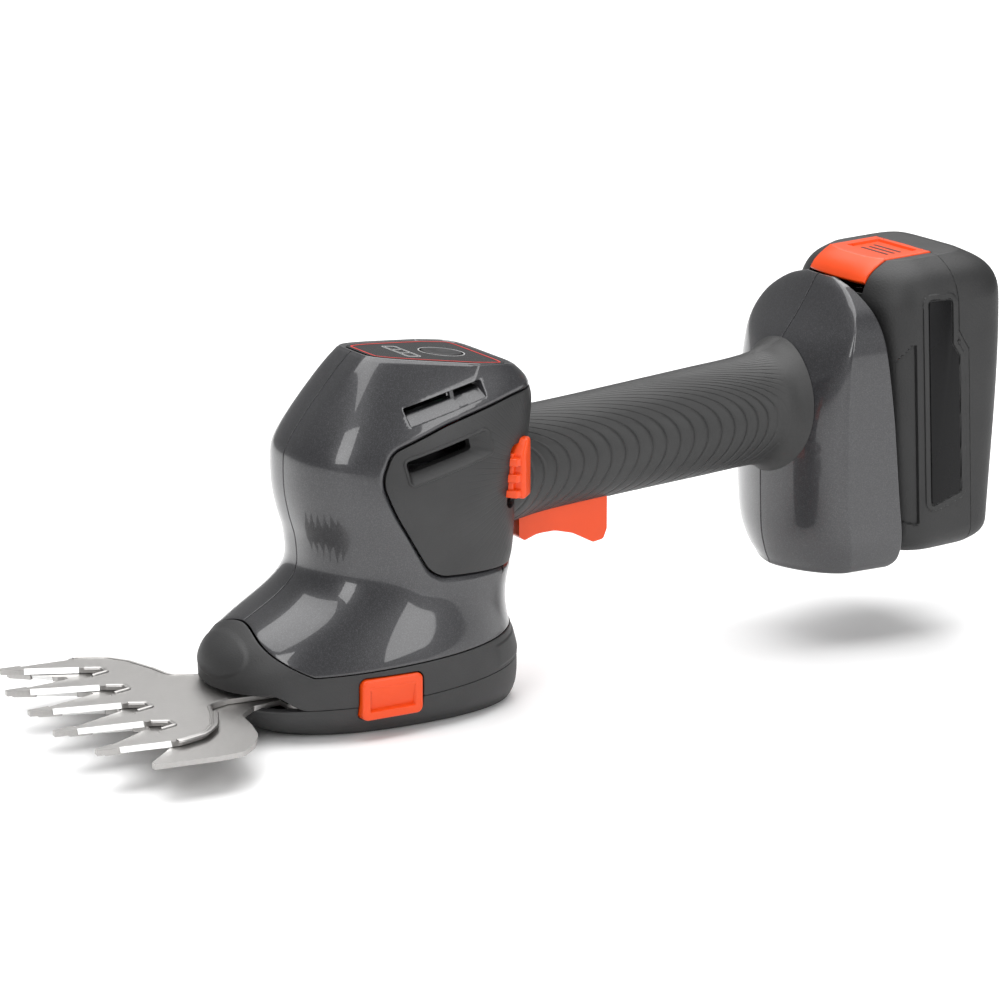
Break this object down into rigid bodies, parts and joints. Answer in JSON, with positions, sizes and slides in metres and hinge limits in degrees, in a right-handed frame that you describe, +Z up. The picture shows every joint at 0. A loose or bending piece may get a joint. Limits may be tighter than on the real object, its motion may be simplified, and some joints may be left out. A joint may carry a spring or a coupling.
{
  "type": "cordless grass shears",
  "caption": "Handheld cordless grass shears: oscillating toothed blades under a tall motor head, round handle with trigger and lock, slide-on battery behind.",
  "frame": {"origin": "on the flat sole, under the blade pivot", "axes": "+X to the rear (battery), nose and blades to -X, +Z up, +Y to the tool's right"},
  "size_m": [0.3943, 0.13, 0.1496],
  "materials": {
    "gloss_shell": "glossy warm dark grey with a fine metallic fleck",
    "matte_shell": "fine-grained dark grey",
    "soft_grip": "soft dark grey with fine flowing grooves",
    "orange": "satin orange",
    "panel_black": "glossy black",
    "button_black": "satin black",
    "led_lens": "translucent white",
    "blade_steel": "satin ground steel",
    "steel": "bright machined steel",
    "die_cast": "as cast",
    "spring_steel": "drawn wire",
    "gear_plastic": "moulded, natural",
    "brass": "machined",
    "motor_steel": "plated can",
    "winding": "wound and lacquered",
    "inner_plastic": "moulded black",
    "board": "green laminate",
    "cell_wrap": null,
    "label_black": "glossy black"
  },
  "bodies": {
    "tool": {"head_shell_left": "gloss_shell", "head_shell_right": "gloss_shell", "side_cover_left": "matte_shell", "side_cover_right": "matte_shell", "base_skirt": "matte_shell", "sole_cover": "matte_shell", "control_panel": "panel_black", "led_windows": "led_lens", "control_board": "board", "handle_left": "soft_grip", "handle_right": "soft_grip", "rear_shell_left": "gloss_shell", "rear_shell_right": "gloss_shell", "rail_plate": "inner_plastic", "tool_terminals": "brass", "trigger_pin": "steel", "trigger_spring": "spring_steel", "trigger_switch": "inner_plastic", "switch_carrier": "inner_plastic", "lock_guide": "inner_plastic", "lock_spring": "spring_steel", "release_springs": "spring_steel", "lower_blade": "blade_steel", "pivot_pin": "steel", "drive_plate": "die_cast", "crank_bearing": "steel", "gear_bridge": "die_cast", "motor_can": "motor_steel", "motor_end_bell": "inner_plastic", "motor_bushes": "brass", "housing_screws": "steel"},
    "blade": {"upper_blade": "blade_steel"},
    "crank": {"crank_gear": "gear_plastic"},
    "rotor": {"motor_armature": "winding", "drive_pinion": "brass"},
    "trigger_lever": {"trigger": "orange"},
    "lock": {"lock_slider": "orange"},
    "release_left": {"release_button_left": "orange"},
    "release_right": {"release_button_right": "orange"},
    "power_key": {"power_button": "button_black"},
    "battery": {"battery_case_front": "matte_shell", "battery_case_rear": "matte_shell", "battery_labels": "label_black", "latch_spring": "spring_steel", "battery_cells": "cell_wrap", "cell_holders": "inner_plastic", "battery_contacts": "brass"},
    "latch": {"battery_latch": "orange"}
  },
  "joints": [
    {"name": "blade_swing", "type": "hinge", "parent": "tool", "child": "blade", "pos_m": [0, 0, 0.0145], "axis": [0, 0, 1], "range_deg": [-2.28, 12.88]},
    {"name": "crank_turn", "type": "hinge", "parent": "tool", "child": "crank", "pos_m": [0.024, 0, 0.03], "axis": [0, 0, 1], "range_deg": [-27.6, 153.4]},
    {"name": "motor_turn", "type": "hinge", "parent": "tool", "child": "rotor", "pos_m": [0.05025, 0, 0.03], "axis": [0, 0, 1], "range_deg": [-613.58, 110.42]},
    {"name": "trigger_press", "type": "hinge", "parent": "tool", "child": "trigger_lever", "pos_m": [0.09699, 0, 0.07133], "axis": [0, -1, 0], "range_deg": [0, 8], "stiffness_Nm_per_rad": 1.2, "springref_deg": -8.59, "deforming": ["trigger_spring"]},
    {"name": "lock_slide", "type": "slide", "parent": "tool", "child": "lock", "axis": [0, 0, -1], "range_m": [0, 0.0035], "stiffness_N_per_m": 400, "springref_m": -0.002, "deforming": ["lock_spring"]},
    {"name": "release_left_press", "type": "slide", "parent": "tool", "child": "release_left", "axis": [0, 1, 0], "range_m": [0, 0.003], "stiffness_N_per_m": 500, "springref_m": -0.002, "deforming": ["release_springs"]},
    {"name": "release_right_press", "type": "slide", "parent": "tool", "child": "release_right", "axis": [0, -1, 0], "range_m": [0, 0.003], "stiffness_N_per_m": 500, "springref_m": -0.002, "deforming": ["release_springs"]},
    {"name": "power_press", "type": "slide", "parent": "tool", "child": "power_key", "axis": [-0.1191, 0, -0.9929], "range_m": [0, 0.0006], "stiffness_N_per_m": 600, "springref_m": -0.001},
    {"name": "battery_slide", "type": "slide", "parent": "tool", "child": "battery", "axis": [-0.0489, 0, 0.9988], "range_m": [0, 0.08]},
    {"name": "latch_press", "type": "slide", "parent": "battery", "child": "latch", "axis": [0.0489, 0, -0.9988], "range_m": [0, 0.003], "stiffness_N_per_m": 500, "springref_m": -0.002, "deforming": ["latch_spring"]}
  ],
  "couplings": [
    {"joint": "crank_turn", "follows": "blade_swing", "ratio": 11.867},
    {"joint": "motor_turn", "follows": "blade_swing", "ratio": -47.468}
  ]
}
